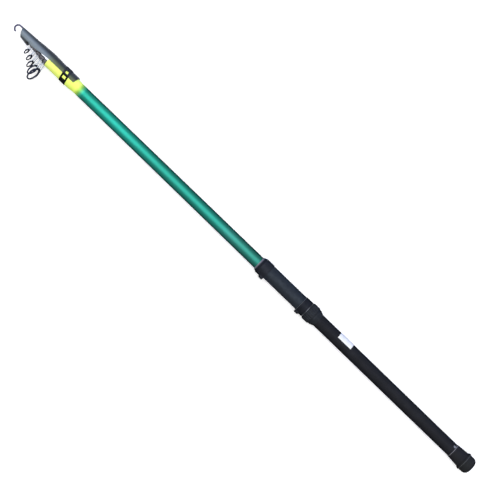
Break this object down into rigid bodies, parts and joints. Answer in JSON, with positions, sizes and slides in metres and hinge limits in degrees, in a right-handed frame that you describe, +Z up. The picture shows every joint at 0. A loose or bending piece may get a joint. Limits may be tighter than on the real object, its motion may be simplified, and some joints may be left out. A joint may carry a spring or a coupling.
{
  "type": "telescopic fishing rod",
  "caption": "Telescopic fishing rod, closed: tapered tube sections that draw out of a lacquered butt tube with a grip, a screw reel seat, stacked line guides and a strapped tip cover.",
  "frame": {"origin": "centre of the flat end of the butt cap, on the rod's axis", "axes": "+X along the rod from the butt to the tip, +Y to the side of the line guides and the reel, +Z up as the rod lies on its side"},
  "size_m": [1.1445, 0.0695, 0.0356],
  "materials": {
    "butt_lacquer": "gloss lacquer over glass fibre",
    "section_lacquer": "gloss lacquer over glass fibre",
    "grip_rubber": "textured shrink rubber",
    "sleeve_rubber": "matt foam rubber",
    "cap_rubber": "matt moulded rubber",
    "plug_plastic": "moulded",
    "pad_foam": "foam",
    "seat_plastic": "satin moulded",
    "nut_plastic": "satin moulded",
    "trim_grey": "satin moulded",
    "steel": "turned",
    "collar_metal": "polished",
    "frame_wire": "polished",
    "ring_ceramic": "polished ceramic",
    "cover_plastic": "satin moulded",
    "hook_wire": "coated",
    "strap_rubber": "moulded"
  },
  "bodies": {
    "handle": {"blank": "butt_lacquer", "grip_sleeve": "grip_rubber", "butt_sleeve": "sleeve_rubber", "thread_bush": "plug_plastic", "seat_barrel": "seat_plastic", "front_hood": "seat_plastic", "front_trim": "trim_grey", "rear_trim": "seat_plastic", "cover_strap": "strap_rubber"},
    "pad": {"butt_pad": "pad_foam"},
    "cap": {"butt_cap": "cap_rubber", "butt_plug": "plug_plastic"},
    "hood": {"sliding_hood": "seat_plastic", "slip_ring": "steel"},
    "nut": {"lock_nut": "nut_plastic"},
    "section_1": {"section_1": "section_lacquer", "guide_1_collar": "collar_metal", "guide_1_frame": "frame_wire", "guide_1_ring": "ring_ceramic"},
    "section_2": {"section_2": "section_lacquer", "guide_2_collar": "collar_metal", "guide_2_frame": "frame_wire", "guide_2_ring": "ring_ceramic"},
    "section_3": {"section_3": "section_lacquer", "guide_3_collar": "collar_metal", "guide_3_frame": "frame_wire", "guide_3_ring": "ring_ceramic"},
    "tip": {"tip_section": "section_lacquer", "tip_top_collar": "collar_metal", "tip_top_frame": "frame_wire", "tip_top_ring": "ring_ceramic"},
    "float_guide": {"float_guide_collar": "collar_metal", "float_guide_frame": "frame_wire", "float_guide_ring": "ring_ceramic"},
    "cover": {"tip_cover": "cover_plastic", "cover_hook": "hook_wire"}
  },
  "joints": [
    {"name": "section_1_draw", "type": "slide", "parent": "handle", "child": "section_1", "axis": [1, 0, 0], "range_m": [0, 0.9262]},
    {"name": "section_2_draw", "type": "slide", "parent": "section_1", "child": "section_2", "axis": [1, 0, 0], "range_m": [0, 0.9328]},
    {"name": "section_3_draw", "type": "slide", "parent": "section_2", "child": "section_3", "axis": [1, 0, 0], "range_m": [0, 0.943]},
    {"name": "tip_draw", "type": "slide", "parent": "section_3", "child": "tip", "axis": [1, 0, 0], "range_m": [0, 0.9521]},
    {"name": "float_guide_slide", "type": "slide", "parent": "tip", "child": "float_guide", "axis": [1, 0, 0], "range_m": [-0.47605, 0]},
    {"name": "cover_pull", "type": "slide", "parent": "tip", "child": "cover", "axis": [1, 0, 0], "range_m": [0, 0.15]},
    {"name": "hood_slide", "type": "slide", "parent": "handle", "child": "hood", "axis": [1, 0, 0], "range_m": [0, 0.018]},
    {"name": "nut_turn", "type": "hinge", "parent": "hood", "child": "nut", "pos_m": [0.3934, 0, 0], "axis": [1, 0, 0], "range_deg": [0, 2160]},
    {"name": "pad_slide", "type": "slide", "parent": "handle", "child": "pad", "axis": [-1, 0, 0], "range_m": [0, 0.015]},
    {"name": "cap_turn", "type": "hinge", "parent": "pad", "child": "cap", "pos_m": [0, 0, 0], "axis": [-1, 0, 0], "range_deg": [0, 1800]}
  ],
  "couplings": [
    {"joint": "float_guide_slide", "follows": "tip_draw", "ratio": -0.5},
    {"joint": "hood_slide", "follows": "nut_turn", "m_per_rad": 0.00047746},
    {"joint": "pad_slide", "follows": "cap_turn", "m_per_rad": 0.00047746}
  ]
}
